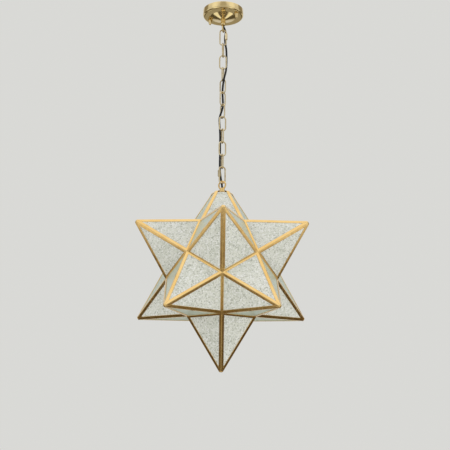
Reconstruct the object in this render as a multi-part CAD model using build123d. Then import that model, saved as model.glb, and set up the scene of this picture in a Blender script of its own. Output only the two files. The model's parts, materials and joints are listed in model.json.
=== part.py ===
from build123d import *
import os
from math import acos, atan, cos, degrees, hypot, pi, radians, sin, sqrt, tan

# A glass star of twelve five-sided points, hung on a chain from a ceiling canopy.
# Millimetres. The origin is the middle of the canopy's rim, in the ceiling's plane; +Z is up,
# so everything lies below zero. The star's front faces -Y, and azimuths turn from -Y towards +X.

os.makedirs("parts", exist_ok=True)

# ---- canopy and what is inside it ----
canopy_radius = 50.0
canopy_height = 17.0
canopy_wall = 1.0
canopy_corner = 2.5
cone_radius = 31.0
cone_drop = 7.0
cone_foot = 7.5
fixing_azimuth = 59.0
bracket_width = 18.0
bracket_sheet = 2.0
bracket_drop = 7.0
bracket_half = 44.0
bracket_pad = 5.0
ramp_in = 7.0
ramp_out = 3.0
ramp_slope = 1.3
fixing_pitch = 50.0
fixing_hole_radius = 2.5
stud_gap = 1.2
stud_radius = 2.0
stud_head = 3.6
stud_head_height = 2.0
stud_clearance = 0.1
stud_end_rise = 2.0
stud_end_gap = 0.4
ball_nut_radius = 5.2
ball_nut_length = 12.0

# ---- threaded tubes, nuts and loops ----
tube_radius = 5.0
tube_bore = 3.6
thread_clearance = 0.05
nut_flats = 14.0
nut_height = 2.8
stem_radius = 6.0
stem_bore = 3.2
canopy_stem = 16.0
thread_depth = 9.0
thread_end_gap = 0.2
tube_top_drop = 1.5
ring_bar = 3.6
ring_outer = 22.0
top_ring_turn = 80.0
star_ring_turn = -32.0

# ---- chain ----
wire = 3.2
contact_gap = 0.3
link_inner_length = 32.0
link_inner_width = 12.6
link_corner = 7.5
link_turns = (82, -3, 76, -38, 40, -54, 20, -76, 14, -78)
quick_inner_length = 36.0
quick_inner_width = 12.2
quick_corner = 6.0
quick_turns = (4, 206)
quick_gap = 5.5
quick_gap_drop = 10.0
sleeve_length = 16.0
sleeve_flats = 6.2
sleeve_drop = 8.5
sleeve_clearance = 0.05

# ---- star ----
core_edge = 96.0
point_reach = 234.0
tip_blunt = 4.0
tip_bead = 1.7
top_reach = 222.0
glass = 3.0
pane_gap = 0.3
pane_tip = 14.0
brass = 1.0
ridge_flange = 6.5
valley_flange = 4.2

# ---- top of the star ----
top_cut_drop = 34.0
plate_sheet = 2.5
top_pane_gap = 1.4
plate_edge_gap = 1.1
collar_radius = 7.5
collar_height = 3.0
star_stem = 8.5
strap_width = 10.0
strap_sheet = 1.0
strap_bend = 12.0
strap_tail = 3.0
strap_collar_gap = 0.7
star_tube_length = 25.0
star_thread_stop = 2.0
washer_radius = 9.0
washer_sheet = 1.2

# ---- lampholder and lamp ----
holder_radius = 20.0
holder_wall = 1.8
holder_drop = 10.0
holder_hub = 6.0
holder_hub_radius = 8.0
holder_cap_height = 18.0
holder_body_height = 38.0
cap_share = 0.8
cap_step = 2.0
cap_edge = 6.0
band_count = 4
band_pitch = 5.0
band_height = 2.5
band_proud = 1.0
insert_sheet = 6.0
insert_gap = 2.0
socket_radius = 13.7
socket_wall = 1.8
lamp_cap_radius = 13.2
lamp_cap_length = 25.0
lamp_thread = 0.6
lamp_glass_radius = 30.0
lamp_glass_length = 92.0
lamp_wall = 0.8
lamp_gap = 0.3
contact_radius = 3.0
contact_height = 1.5
lamp_tip_radius = 4.0
lamp_tip_height = 2.0
thread_count = 6
plain_length = 5.0
neck_length = 6.0
neck_inset = 1.0
flare_radius = 20.0
flare_length = 20.0
flare_turn = 28.0

# ---- hinged point ----
door_azimuth = 144
door_gap = 0.5
barrel_radius = 1.9
barrel_gap = 0.2
pin_radius = 0.9
pin_clearance = 0.05
knuckle = 5.0
hinge_reach = 28.0
leaf_sheet = 0.8
pin_head = 1.4
pin_head_height = 0.6

# ---- power cord, woven through the chain ----
cord_radius = 2.4
cord_top = -2.0
cord_end_gap = 0.1
arc_share = 0.45
largest_arc = 150.0
cord_route = [
    (0.2, -0.1, -22), (0, 0, -34), (0, 0.1, -42), (4, 2.8, -47.5), (6.9, 6.8, -58), (7.2, 8.2, -71),
    (7.5, 9.2, -84), (8.4, 10.2, -97), (9.1, 10.3, -115), (9.1, 9.1, -134), (8.7, 6.2, -148), (7.4, 0.3, -162),
    (4.8, -6.3, -175), (2.2, -8.3, -187), (0.1, -2.1, -201), (-0.7, 5.7, -214), (0.3, 8.8, -230), (1.2, 6.9, -250),
    (-2.4, 1.7, -265), (-8.2, 2.1, -282), (-7, 2.8, -300), (-5.5, 3.1, -322), (-5.5, 3.3, -345), (-5.3, 3.8, -366),
    (-5.9, 4.6, -390), (-5.8, 6, -410), (-3.5, 7.2, -430), (-1.5, 7, -441), (-0.5, 3.8, -449.5),
    (0, 0, -456), (0, 0.1, -465), (0.1, 0.1, -476), (0, 0.2, -487),
]


# ---- plain forms ----
def bar(radius, top, bottom, bore=0):
    """Upright round bar or tube on the Z axis."""
    body = Pos(0, 0, (top + bottom) / 2) * Cylinder(radius, top - bottom)
    if bore:
        body -= Pos(0, 0, (top + bottom) / 2) * Cylinder(bore, top - bottom + 1)
    return body


def turned(outline):
    """Solid turned about Z from (radius, height) points."""
    return revolve(make_face(Polyline(*[(r, 0, z) for r, z in outline], close=True)), Axis.Z)


def hex_nut(flats, top, bottom, bore):
    body = extrude(Pos(0, 0, bottom) * RegularPolygon(flats / 2, 6, major_radius=False), top - bottom)
    return body - bar(bore, top + 1, bottom - 1)


def ring(centre, turn):
    """Upright ring of round bar, turned about Z."""
    return Pos(0, 0, centre) * Rot(0, 0, turn) * Rot(90, 0, 0) * Torus(ring_path, ring_bar / 2)


def save(node, *pieces):
    solids = [solid for piece in pieces for solid in piece.solids()]
    export_step(solids[0] if len(solids) == 1 else Compound(solids), f"parts/{node}.step")


# ---- heights down the hanger ----
ring_path = (ring_outer - ring_bar) / 2
cone_bottom = -canopy_height - cone_drop
top_ring_centre = cone_bottom - canopy_stem - ring_path + ring_bar / 2
hook = wire + contact_gap
quick_pitch = quick_inner_length + wire
link_pitch = link_inner_length + wire - hook
top_quick_z = top_ring_centre - ring_path + ring_bar / 2 + wire / 2 + contact_gap
first_pivot = top_quick_z - quick_pitch
link_tops = [first_pivot + hook - link_pitch * i for i in range(len(link_turns))]
bottom_quick_z = link_tops[-1] - link_inner_length - wire + hook
star_hook = bottom_quick_z - quick_pitch
star_ring_centre = star_hook + wire / 2 + contact_gap + ring_bar / 2 - ring_path
stem_top = star_ring_centre - ring_path + ring_bar / 2
plate_height = top_reach - top_cut_drop
star_z = stem_top - star_stem - collar_height - plate_height
star = Pos(0, 0, star_z)

# ---- canopy, bracket, screws ----
fixing = Rot(0, 0, fixing_azimuth - 90)
stud_reach = fixing_pitch / 2 + bracket_pad + ramp_out + stud_head + stud_gap
canopy_outside = turned([(0, 0), (canopy_radius, 0), (canopy_radius, -canopy_height), (cone_radius, -canopy_height),
                         (cone_foot, cone_bottom), (0, cone_bottom)])
rim = canopy_outside.edges().filter_by(GeomType.CIRCLE).group_by(Axis.Z)[1].sort_by(SortBy.RADIUS)[-1]
canopy_outside = fillet(rim, canopy_corner)
inside_radius = canopy_radius - canopy_wall
canopy_inside = turned([(0, 1), (inside_radius, 1), (inside_radius, canopy_wall - canopy_height),
                        (cone_radius, canopy_wall - canopy_height), (cone_foot, cone_bottom + canopy_wall),
                        (0, cone_bottom + canopy_wall)])
canopy = canopy_outside - canopy_inside - bar(tube_radius + thread_clearance, 0, cone_bottom - 1)
stud_hole = stud_radius + stud_clearance
for side in (-1, 1):
    canopy -= fixing * Pos(side * stud_reach, 0, -canopy_height) * Cylinder(stud_hole, 4)
save("canopy", canopy)

pad_in = fixing_pitch / 2 - bracket_pad
pad_out = fixing_pitch / 2 + bracket_pad
half_outline = [(pad_in - ramp_in, -bracket_drop), (pad_in, 0), (pad_out, 0), (pad_out + ramp_out, -bracket_drop),
                (bracket_half, -bracket_drop), (bracket_half, -bracket_drop - bracket_sheet),
                (pad_out + ramp_out - ramp_slope, -bracket_drop - bracket_sheet), (pad_out - ramp_slope, -bracket_sheet),
                (pad_in + ramp_slope, -bracket_sheet), (pad_in - ramp_in + ramp_slope, -bracket_drop - bracket_sheet)]
upper, lower = half_outline[:5], half_outline[5:]
outline = upper + lower + [(-u, z) for u, z in reversed(lower)] + [(-u, z) for u, z in reversed(upper)]
strip_face = make_face(Polyline(*[(u, 0, z) for u, z in outline], close=True))
bracket = extrude(strip_face, bracket_width / 2, both=True)
bracket -= bar(tube_radius + thread_clearance, 1, -20)
for side in (-1, 1):
    bracket -= Pos(side * fixing_pitch / 2, 0, 0) * Cylinder(fixing_hole_radius, 10)
    bracket -= Pos(side * stud_reach, 0, -bracket_drop) * Cylinder(stud_hole, 10)
save("mounting_bracket", fixing * bracket)

stud_end = -canopy_height - ball_nut_length + stud_end_rise
stud = bar(stud_radius, -bracket_drop, stud_end) + bar(stud_head, stud_head_height - bracket_drop, -bracket_drop)
save("bracket_studs", *[fixing * Pos(side * stud_reach, 0, 0) * stud for side in (-1, 1)])

nut_foot = -canopy_height
nut_outline = [(0, 1), (0.94, 1), (1, 0.9), (0.9, 0.71), (0.69, 0.38), (0.5, 0.15), (0.27, 0.03), (0, 0)]
nut_profile = [(ball_nut_radius * r, nut_foot - ball_nut_length * (1 - h)) for r, h in nut_outline]
ball_nut = turned(nut_profile) - bar(stud_hole, nut_foot + 1, stud_end - stud_end_gap)
save("canopy_ball_nut_right", fixing * Pos(stud_reach, 0, 0) * ball_nut)
save("canopy_ball_nut_left", fixing * Pos(-stud_reach, 0, 0) * ball_nut)

# ---- hanger tube, its nuts, the loop under the canopy ----
thread_bore = tube_radius + thread_clearance
save("hanger_tube", bar(tube_radius, -tube_top_drop, cone_bottom - thread_depth, tube_bore))
sheet_top = -bracket_drop
sheet_bottom = -bracket_drop - bracket_sheet
save("hanger_nuts", hex_nut(nut_flats, sheet_top + nut_height, sheet_top, thread_bore),
     hex_nut(nut_flats, sheet_bottom, sheet_bottom - nut_height, thread_bore))
canopy_loop = bar(stem_radius, cone_bottom, cone_bottom - canopy_stem) + ring(top_ring_centre, top_ring_turn)
canopy_loop -= bar(thread_bore, cone_bottom + 1, cone_bottom - thread_depth - thread_end_gap)
canopy_loop -= bar(stem_bore, cone_bottom, cone_bottom - canopy_stem - 1)
save("canopy_loop", canopy_loop)


# ---- chain ----
def half_loop(inner_length, inner_width, corner):
    """One half of a link, its top bar's middle at the origin, in the XZ plane."""
    half = (inner_width + wire) / 2
    length = inner_length + wire
    path = FilletPolyline((0, 0, 0), (half, 0, 0), (half, 0, -length), (0, 0, -length), radius=corner)
    return sweep(Plane(origin=(0, 0, 0), z_dir=(1, 0, 0)) * Circle(wire / 2), path=path)


def whole_loop(inner_length, inner_width, corner):
    half = half_loop(inner_length, inner_width, corner)
    return half + Rot(0, 0, 180) * half


chain_link = whole_loop(link_inner_length, link_inner_width, link_corner)
for i, (top, turn) in enumerate(zip(link_tops, link_turns)):
    save(f"chain_link_{i + 1:02d}", Pos(0, 0, top) * Rot(0, 0, turn) * chain_link)

quick_leg = (quick_inner_width + wire) / 2
quick_link = whole_loop(quick_inner_length, quick_inner_width, quick_corner)
quick_link -= Pos(quick_leg, 0, -quick_gap_drop - quick_gap / 2) * Box(2 * wire, 2 * wire, quick_gap)
sleeve = Pos(quick_leg, 0, 0) * hex_nut(sleeve_flats, -sleeve_drop, -sleeve_drop - sleeve_length,
                                        wire / 2 + sleeve_clearance)
quick_places = [Pos(0, 0, top) * Rot(0, 0, turn) for top, turn in zip((top_quick_z, bottom_quick_z), quick_turns)]
for name, place in zip(("top", "bottom"), quick_places):
    save(f"{name}_quick_link", place * quick_link)
    save(f"{name}_quick_link_sleeve", place * sleeve)

# ---- the star's points ----
core_inradius = core_edge * sqrt((25 + 11 * sqrt(5)) / 40)
base_inradius = core_edge / 2 / tan(pi / 5)
tilt_up = degrees(acos(1 / sqrt(5)))
centre_to_base = Vector(0, -base_inradius, core_inradius)
valley_normal = Vector(0, core_inradius, base_inradius).normalized()


class Point:
    """Five-sided point on a face of the core, with its sharp tip this far from the star's centre."""

    def __init__(self, reach):
        self.reach = reach
        self.height = reach - core_inradius
        self.slant = hypot(base_inradius, self.height)
        self.depth = base_inradius * reach / self.slant
        self.half_angle = atan(core_edge / 2 / self.slant)

    def spot(self, face, x, y):
        """Place on a face: x along its base edge, y up towards the tip."""
        turn = radians(72 * face)
        out = Vector(sin(turn), -cos(turn), 0)
        along = Vector(cos(turn), sin(turn), 0)
        middle = out * base_inradius + Vector(0, 0, core_inradius)
        up = (Vector(0, 0, self.reach) - middle).normalized()
        return middle + along * x + up * y

    def inset(self, y, width):
        """Half width of a face at height y, less a band of this width along its ridge."""
        return core_edge / 2 * (1 - y / self.slant) - width / cos(self.half_angle)

    def scale(self, out):
        """How far a face's plane scales when it moves out by this much."""
        return 1 + out / self.depth

    def climb(self, height):
        """Height y on a face of a level this far above the star's centre."""
        return (height - core_inradius) * self.slant / self.height


def wedge(corners, near, far):
    """Flat piece between two copies of an outline, scaled from the star's centre, so its sides are mitred."""
    low = [corner * near for corner in corners]
    high = [corner * far for corner in corners]
    sides = [[low[i - 1], low[i], high[i], high[i - 1]] for i in range(len(corners))]
    faces = [Face(Wire.make_polygon(loop)) for loop in [low, high] + sides]
    body = Solid(Shell(faces))
    return body if body.volume > 0 else -body


def valley_mirror(corner):
    """The same place on the neighbouring point, across the valley below face 0."""
    return corner - valley_normal * (2 * corner.dot(valley_normal))


def flange(point, foot=0.0):
    """Corners of the valley strip's flange on face 0."""
    foot_half = core_edge / 2 * (1 - foot / point.slant)
    top_half = point.inset(valley_flange, ridge_flange)
    return [point.spot(0, x, y) for x, y in ((-foot_half, foot), (foot_half, foot), (top_half, valley_flange),
                                             (-top_half, valley_flange))]


def ridge_strip(point, foot=0.0):
    """V-shaped strip over the ridge between faces 0 and 1, up to the sharp tip."""
    foot_half = core_edge / 2 * (1 - foot / point.slant)
    foot_point = (foot_half, foot)
    low_mitre = (point.inset(valley_flange, ridge_flange), valley_flange)
    tip_mitre = (0, point.slant - ridge_flange / sin(point.half_angle))
    shape = [foot_point, (0, point.slant), tip_mitre, low_mitre]
    right = [point.spot(0, x, y) for x, y in shape]
    left = [point.spot(1, -x, y) for x, y in shape]
    outside = point.scale(brass)
    return wedge(right, 1, outside) + wedge(left, 1, outside)


def pane(point, top, foot=0.0):
    """Glass pane on face 0, with a joint round it."""
    low = pane_gap + foot
    low_half = point.inset(low, pane_gap)
    top_half = point.inset(top, pane_gap)
    corners = [point.spot(0, x, y) for x, y in ((-low_half, low), (low_half, low), (top_half, top), (-top_half, top))]
    return wedge(corners, point.scale(-glass), 1)


def above(height):
    """Block that cuts off everything above a level of a point."""
    return Pos(0, 0, height + point_reach / 2) * Box(2 * point_reach, 2 * point_reach, point_reach)


def around(piece):
    return [Rot(0, 0, 72 * i) * piece for i in range(5)]


side_point = Point(point_reach)
top_point = Point(top_reach)
tip_reach = point_reach - tip_blunt
tip_cut = tip_reach - tip_bead
bead_radius = (point_reach - tip_cut) * base_inradius / side_point.height
bead_curve = (bead_radius ** 2 + tip_bead ** 2) / 2 / tip_bead
bead = Pos(0, 0, tip_reach - bead_curve) * Sphere(bead_curve)
bead &= Pos(0, 0, tip_cut + bead_curve) * Box(4 * bead_curve, 4 * bead_curve, 2 * bead_curve)


def point_frame(foot=0.0):
    strip = ridge_strip(side_point, foot) - above(tip_cut)
    return around(strip) + [bead]


def point_glass(foot=0.0):
    return around(pane(side_point, side_point.climb(point_reach - pane_tip), foot))


def upper(azimuth):
    return star * Rot(0, 0, azimuth) * Rot(tilt_up, 0, 0) * Rot(0, 0, 36)


def lower(azimuth):
    return star * Rot(0, 0, azimuth) * Rot(180 - tilt_up, 0, 0)


down = star * Rot(180, 0, 0)
upper_azimuths = [0, 72, -144, -72]
lower_azimuths = [36, 108, 180, -108, -36]
frame_pieces = point_frame()
glass_pieces = point_glass()
for i, azimuth in enumerate(upper_azimuths):
    save(f"upper_point_glass_{i + 1}", *[upper(azimuth) * piece for piece in glass_pieces])
for i, azimuth in enumerate(lower_azimuths):
    save(f"lower_point_glass_{i + 1}", *[lower(azimuth) * piece for piece in glass_pieces])
save("bottom_point_glass", *[down * piece for piece in glass_pieces])
save("upper_point_frames", *[upper(azimuth) * piece for azimuth in upper_azimuths for piece in frame_pieces])
save("lower_point_frames", *[lower(azimuth) * piece for azimuth in lower_azimuths for piece in frame_pieces])
save("bottom_point_frame", *[down * piece for piece in frame_pieces])
door = upper(door_azimuth)
save("door_glass", *[door * piece for piece in point_glass(door_gap)])
save("door_frame", *[door * piece for piece in point_frame(door_gap)])

# ---- valley strips ----
side_out = side_point.scale(brass)
top_out = top_point.scale(brass)
near_flange = wedge(flange(side_point), 1, side_out)
far_flange = wedge([valley_mirror(corner) for corner in flange(side_point)], 1, side_out)
top_flange = wedge(flange(top_point), 1, top_out)
side_valley = near_flange + far_flange
top_valley = top_flange + far_flange
valleys = []
for azimuth in (0, 72, -144, -72):
    valleys.append(star * Rot(0, 0, azimuth) * top_valley)
    valleys += [upper(azimuth) * Rot(0, 0, 72 * face) * side_valley for face in (0, 4)]
valleys += [upper(azimuth) * Rot(0, 0, 72) * side_valley for azimuth in (0, -144, -72)]
valleys += [lower(azimuth) * Rot(0, 0, 72 * face) * side_valley for azimuth in lower_azimuths for face in (0, 1)]
valleys += [door * Rot(0, 0, 72 * face) * far_flange for face in (0, 1, 3, 4)]
valleys.append(star * Rot(0, 0, door_azimuth) * top_flange)
save("valley_strips", *valleys)
door_flange = wedge(flange(side_point, door_gap), 1, side_out)
save("door_rim", *[door * piece for piece in around(door_flange)])

# ---- top of the star: glass, ridge strips, plate, straps, loop ----
plate_bottom = plate_height - plate_sheet
top_pane = pane(top_point, top_point.climb(plate_height)) - above(plate_bottom - top_pane_gap)
save("top_point_glass", *[star * piece for piece in around(top_pane)])
ridge_lean = atan(base_inradius / cos(pi / 5) / top_point.height)
plate_radius = top_cut_drop * base_inradius / top_point.height - plate_edge_gap
strap_start = collar_radius + strap_collar_gap
strap_top = plate_height + strap_sheet
strap_corner = (top_reach * top_out - strap_top) * tan(ridge_lean)
bend_run = strap_bend * tan((pi / 2 - ridge_lean) / 2)
arc_start = (strap_corner + bend_run * sin(ridge_lean), strap_top - bend_run * cos(ridge_lean))
strap_end = (arc_start[0] + strap_tail * sin(ridge_lean), arc_start[1] - strap_tail * cos(ridge_lean))
arc_centre = (strap_corner - bend_run, strap_top - strap_bend)


def strap_arc(radius):
    turns = (ridge_lean, (ridge_lean + pi / 2) / 2, pi / 2)
    return [(arc_centre[0] + radius * cos(t), 0, arc_centre[1] + radius * sin(t)) for t in turns]


outer_arc = strap_arc(strap_bend)
inner_arc = strap_arc(strap_bend - strap_sheet)
in_step = (-strap_sheet * cos(ridge_lean), -strap_sheet * sin(ridge_lean))
strap_in = (strap_end[0] + in_step[0], 0, strap_end[1] + in_step[1])
strap_face = make_face([
    Line((strap_start, 0, strap_top), outer_arc[2]), ThreePointArc(outer_arc[2], outer_arc[1], outer_arc[0]),
    Line(outer_arc[0], (strap_end[0], 0, strap_end[1])), Line((strap_end[0], 0, strap_end[1]), strap_in),
    Line(strap_in, inner_arc[0]), ThreePointArc(inner_arc[0], inner_arc[1], inner_arc[2]),
    Line(inner_arc[2], (strap_start, 0, plate_height)), Line((strap_start, 0, plate_height), (strap_start, 0, strap_top)),
])
strap = Rot(0, 0, -90 + 36) * extrude(strap_face, strap_width / 2, both=True)
save("top_straps", *[star * piece for piece in around(strap)])
strap_foot = Pos(strap_end[0], 0, strap_end[1]) * Rot(0, -degrees(ridge_lean), 0) * above(0)
top_ridge = ridge_strip(top_point) - Rot(0, 0, -90 + 36) * strap_foot
save("top_point_frame", *[star * piece for piece in around(top_ridge)])
save("top_plate", star * bar(plate_radius, plate_height, plate_bottom, thread_bore))
collar_top = plate_height + collar_height
star_loop = star * (bar(collar_radius, collar_top, plate_height) + bar(stem_radius, collar_top + star_stem, collar_top))
star_loop += ring(star_ring_centre, star_ring_turn)
tube_top = collar_top + star_stem - star_thread_stop
star_loop -= star * bar(thread_bore, tube_top + thread_end_gap, plate_height - 1)
star_loop -= star * bar(stem_bore, collar_top + star_stem + 1, plate_height)
save("star_loop", star_loop)
save("star_tube", star * bar(tube_radius, tube_top, tube_top - star_tube_length, tube_bore))
washer_bottom = plate_bottom - washer_sheet
save("star_washer", star * bar(washer_radius, plate_bottom, washer_bottom, thread_bore))
save("star_nut", star * hex_nut(nut_flats, washer_bottom, washer_bottom - nut_height, thread_bore))

# ---- lampholder ----
holder_top = plate_height - holder_drop
holder_shoulder = holder_top - holder_cap_height
holder_bottom = holder_shoulder - holder_body_height
hub_bottom = holder_top - holder_hub
cap_outside = [(0, holder_top), (holder_hub_radius, holder_top), (holder_hub_radius, hub_bottom),
               (holder_radius * cap_share, hub_bottom - cap_step), (holder_radius, hub_bottom - cap_edge),
               (holder_radius, holder_shoulder), (0, holder_shoulder)]
cap_inside = [(0, hub_bottom - holder_wall),
              (holder_radius * cap_share - holder_wall, hub_bottom - cap_step - holder_wall),
              (holder_radius - holder_wall, hub_bottom - cap_edge - holder_wall),
              (holder_radius - holder_wall, holder_shoulder - 1), (0, holder_shoulder - 1)]
holder_cap = turned(cap_outside) - turned(cap_inside) - bar(thread_bore, holder_top + 1, holder_shoulder)
save("lampholder_cap", star * holder_cap)
holder_bore = holder_radius - holder_wall
holder_body = bar(holder_radius, holder_shoulder, holder_bottom, holder_bore)
for band in range(band_count):
    level = holder_bottom + band_pitch * (band + 1)
    holder_body += bar(holder_radius + band_proud, level, level - band_height, holder_bore)
save("lampholder_body", star * holder_body)
insert_top = holder_shoulder - insert_gap
insert_bottom = insert_top - insert_sheet
insert = bar(holder_bore - 0.1, insert_top, insert_bottom)
insert += bar(socket_radius + socket_wall, insert_bottom, holder_bottom, socket_radius)
save("lampholder_insert", star * insert)
contact_bottom = insert_bottom - contact_height
save("lampholder_contact", star * bar(contact_radius, insert_bottom, contact_bottom))

# ---- lamp ----
lamp_top = contact_bottom - lamp_gap
cap_top = lamp_top - lamp_tip_height
cap_bottom = cap_top - lamp_cap_length
thread_pitch = (lamp_cap_length - plain_length) / thread_count
cap_outline = [(0, lamp_top), (lamp_tip_radius, lamp_top), (lamp_cap_radius - lamp_tip_height, cap_top)]
for i in range(thread_count):
    level = cap_top - thread_pitch * i
    cap_outline += [(lamp_cap_radius - lamp_thread, level - 0.1), (lamp_cap_radius, level - thread_pitch / 2)]
cap_outline += [(lamp_cap_radius - lamp_thread, cap_bottom), (0, cap_bottom)]
save("lamp_cap", star * turned(cap_outline))


def lamp_shell(shrink):
    """Pear-shaped glass: a neck, a flare and a round end."""
    globe = lamp_glass_radius - shrink
    globe_z = cap_bottom - lamp_glass_length + lamp_glass_radius
    neck = lamp_cap_radius - neck_inset - shrink
    join = radians(flare_turn)
    flare = (globe * cos(join), globe_z + globe * sin(join))
    neck_end = (neck, 0, cap_bottom - neck_length)
    flare_end = (flare_radius - shrink, 0, cap_bottom - neck_length - flare_length)
    lines = [Line((0, 0, cap_bottom), (neck, 0, cap_bottom)), Line((neck, 0, cap_bottom), neck_end),
             TangentArc(neck_end, flare_end, tangent=(0, 0, -1))]
    edge = lines[2] @ 1
    lines += [Line(edge, (flare[0], 0, flare[1])),
              ThreePointArc((flare[0], 0, flare[1]), (globe * cos(pi / 5), 0, globe_z - globe * sin(pi / 5)),
                            (0, 0, globe_z - globe)), Line((0, 0, globe_z - globe), (0, 0, cap_bottom))]
    return revolve(make_face(lines), Axis.Z)


save("lamp_glass", star * (lamp_shell(0) - lamp_shell(lamp_wall)))

# ---- hinges of the opening point ----
top_normal = Vector(0, -top_point.height, base_inradius).normalized()
side_normal = valley_mirror(Vector(0, -side_point.height, base_inradius).normalized())
top_level = top_point.depth + brass + barrel_radius + barrel_gap
side_level = side_point.depth + brass + barrel_radius + barrel_gap
spread = top_normal.Y * side_normal.Z - top_normal.Z * side_normal.Y
axis_y = (top_level * side_normal.Z - side_level * top_normal.Z) / spread
axis_z = (side_level * top_normal.Y - top_level * side_normal.Y) / spread
hinge_axis = Vector(0, axis_y, axis_z)


def knuckle_tab(normal, point_depth, shift):
    """One knuckle of a hinge and the small leaf that holds it to a flange."""
    barrel = Pos(shift, axis_y, axis_z) * Rot(0, 90, 0) * Cylinder(barrel_radius, knuckle)
    along = Vector(0, -normal.Z, normal.Y)
    if along.dot(hinge_axis - centre_to_base) < 0:
        along = -along
    foot = hinge_axis - normal * (hinge_axis.dot(normal) - point_depth - brass)
    reach = valley_flange - (foot - centre_to_base * (1 + brass / point_depth)).dot(along)
    low = [foot, foot + along * reach, foot + along * reach + normal * leaf_sheet, foot + normal * leaf_sheet * 2]
    face = Face(Wire.make_polygon([Vector(shift - knuckle / 2, corner.Y, corner.Z) for corner in low]))
    leaf = extrude(face, amount=knuckle, dir=(1, 0, 0))
    return barrel + leaf


hinge_bore = Pos(0, axis_y, axis_z) * Rot(0, 90, 0) * Cylinder(pin_radius + pin_clearance, core_edge)
knuckle_step = knuckle + barrel_gap
hinge_place = star * Rot(0, 0, door_azimuth)
fixed_tabs = []
moving_tabs = []
pins = []
for side in (-1, 1):
    middle = side * hinge_reach
    fixed_tabs += [knuckle_tab(top_normal, top_point.depth, middle + step) - hinge_bore
                   for step in (-knuckle_step, knuckle_step)]
    moving_tabs.append(knuckle_tab(side_normal, side_point.depth, middle) - hinge_bore)
    pin_length = 2 * knuckle_step + knuckle
    pin = Pos(middle, axis_y, axis_z) * Rot(0, 90, 0) * Cylinder(pin_radius, pin_length)
    head_x = middle + side * (pin_length + pin_head_height) / 2
    pins.append(pin + Pos(head_x, axis_y, axis_z) * Rot(0, 90, 0) * Cylinder(pin_head, pin_head_height))
save("door_hinge_fixed_leaves", *[hinge_place * piece for piece in fixed_tabs])
save("door_hinge_moving_leaves", *[hinge_place * piece for piece in moving_tabs])
save("door_hinge_pins", *[hinge_place * piece for piece in pins])

# ---- power cord: straight runs joined by tangent arcs, as large as the runs allow ----
cord_end = star_z + insert_top + cord_end_gap
route = [Vector(0, 0, cord_top)] + [Vector(*place) for place in cord_route] + [Vector(0, 0, cord_end)]
radii = []
for before, here, after in zip(route, route[1:], route[2:]):
    turn = radians((here - before).get_angle(after - here))
    run = min((here - before).length, (after - here).length)
    radii.append(min(arc_share * run / tan(turn / 2), largest_arc))
cord_path = FilletPolyline(*route, radius=radii)
cord = sweep(Plane(origin=route[0], z_dir=route[1] - route[0]) * Circle(cord_radius), path=cord_path)
save("power_cord", cord)
print("cord arc radii", [round(radius, 1) for radius in radii])
print("cord length", round(cord_path.length, 1), "volume over section times length",
      round(cord.volume / (pi * cord_radius ** 2 * cord_path.length), 4))
chain_shapes = [Pos(0, 0, top) * Rot(0, 0, turn) * chain_link for top, turn in zip(link_tops, link_turns)]
chain_shapes += [place * piece for place in quick_places for piece in (quick_link, sleeve)]
print("cord's least gap to the chain", round(min(cord.distance_to(shape) for shape in chain_shapes), 2))
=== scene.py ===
import bmesh
import bpy
import numpy as np
from math import acos, atan, atan2, cos, degrees, hypot, pi, radians, sin, sqrt, tan
from mathutils import Matrix, Vector
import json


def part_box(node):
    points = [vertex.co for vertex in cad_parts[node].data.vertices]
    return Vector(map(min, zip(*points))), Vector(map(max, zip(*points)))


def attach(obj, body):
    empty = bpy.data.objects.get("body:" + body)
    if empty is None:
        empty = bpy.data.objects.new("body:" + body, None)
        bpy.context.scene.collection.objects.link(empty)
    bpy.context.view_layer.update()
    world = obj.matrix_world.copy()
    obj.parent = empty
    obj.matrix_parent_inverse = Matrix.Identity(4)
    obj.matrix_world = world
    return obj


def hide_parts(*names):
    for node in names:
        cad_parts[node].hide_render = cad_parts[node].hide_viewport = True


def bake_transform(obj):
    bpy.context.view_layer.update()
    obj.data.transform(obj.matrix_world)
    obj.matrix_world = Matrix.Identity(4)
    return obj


# The star pendant, dressed: folded brass strips, seeded glass, a lacquered canopy, a welded chain
# and the black cord that is woven through it. Shapes are worked out in millimetres.
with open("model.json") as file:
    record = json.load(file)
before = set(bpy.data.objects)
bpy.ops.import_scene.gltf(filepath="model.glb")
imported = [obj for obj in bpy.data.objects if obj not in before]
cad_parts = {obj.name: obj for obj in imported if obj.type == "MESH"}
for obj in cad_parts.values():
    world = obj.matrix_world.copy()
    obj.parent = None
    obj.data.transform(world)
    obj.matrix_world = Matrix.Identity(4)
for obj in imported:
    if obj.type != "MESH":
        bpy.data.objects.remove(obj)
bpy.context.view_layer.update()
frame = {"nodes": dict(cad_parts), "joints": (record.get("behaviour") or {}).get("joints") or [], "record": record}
nodes = frame["nodes"]
joints = {joint["name"]: joint for joint in frame["joints"]}
mm = 0.001
tipReach = 230.0   # from the star's centre to the end of a point's bead
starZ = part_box("bottom_point_frame")[0][2] / mm + tipReach
starCentre = np.array([0, 0, starZ])
print("frame loaded:", len(nodes), "nodes")

# Camera: its place is counted from the star's centre.
camera = {"place": (-24.5, -1905.1, -338.1), "right": (0.999825, -0.017932, 0.005328),
          "up": (-0.009292, -0.228874, 0.973412), "forward": (0.016235, 0.973291, 0.229000),
          "lens": 66.97, "sensor": 36.0, "sight": 50.0}


def addToScene(item):
    bpy.context.scene.collection.objects.link(item)


def addCamera():
    data = bpy.data.cameras.new("photoCamera")
    data.lens = camera["lens"]
    data.sensor_width = camera["sensor"]
    data.clip_end = camera["sight"]
    eye = bpy.data.objects.new("photoCamera", data)
    right, up, forward = (Vector(camera[name]) for name in ("right", "up", "forward"))
    turn = Matrix((right, up, -forward)).transposed().to_4x4()
    place = (Vector(camera["place"]) + Vector(starCentre)) * mm
    eye.matrix_world = Matrix.Translation(place) @ turn
    addToScene(eye)
    bpy.context.scene.camera = eye


addCamera()


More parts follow.
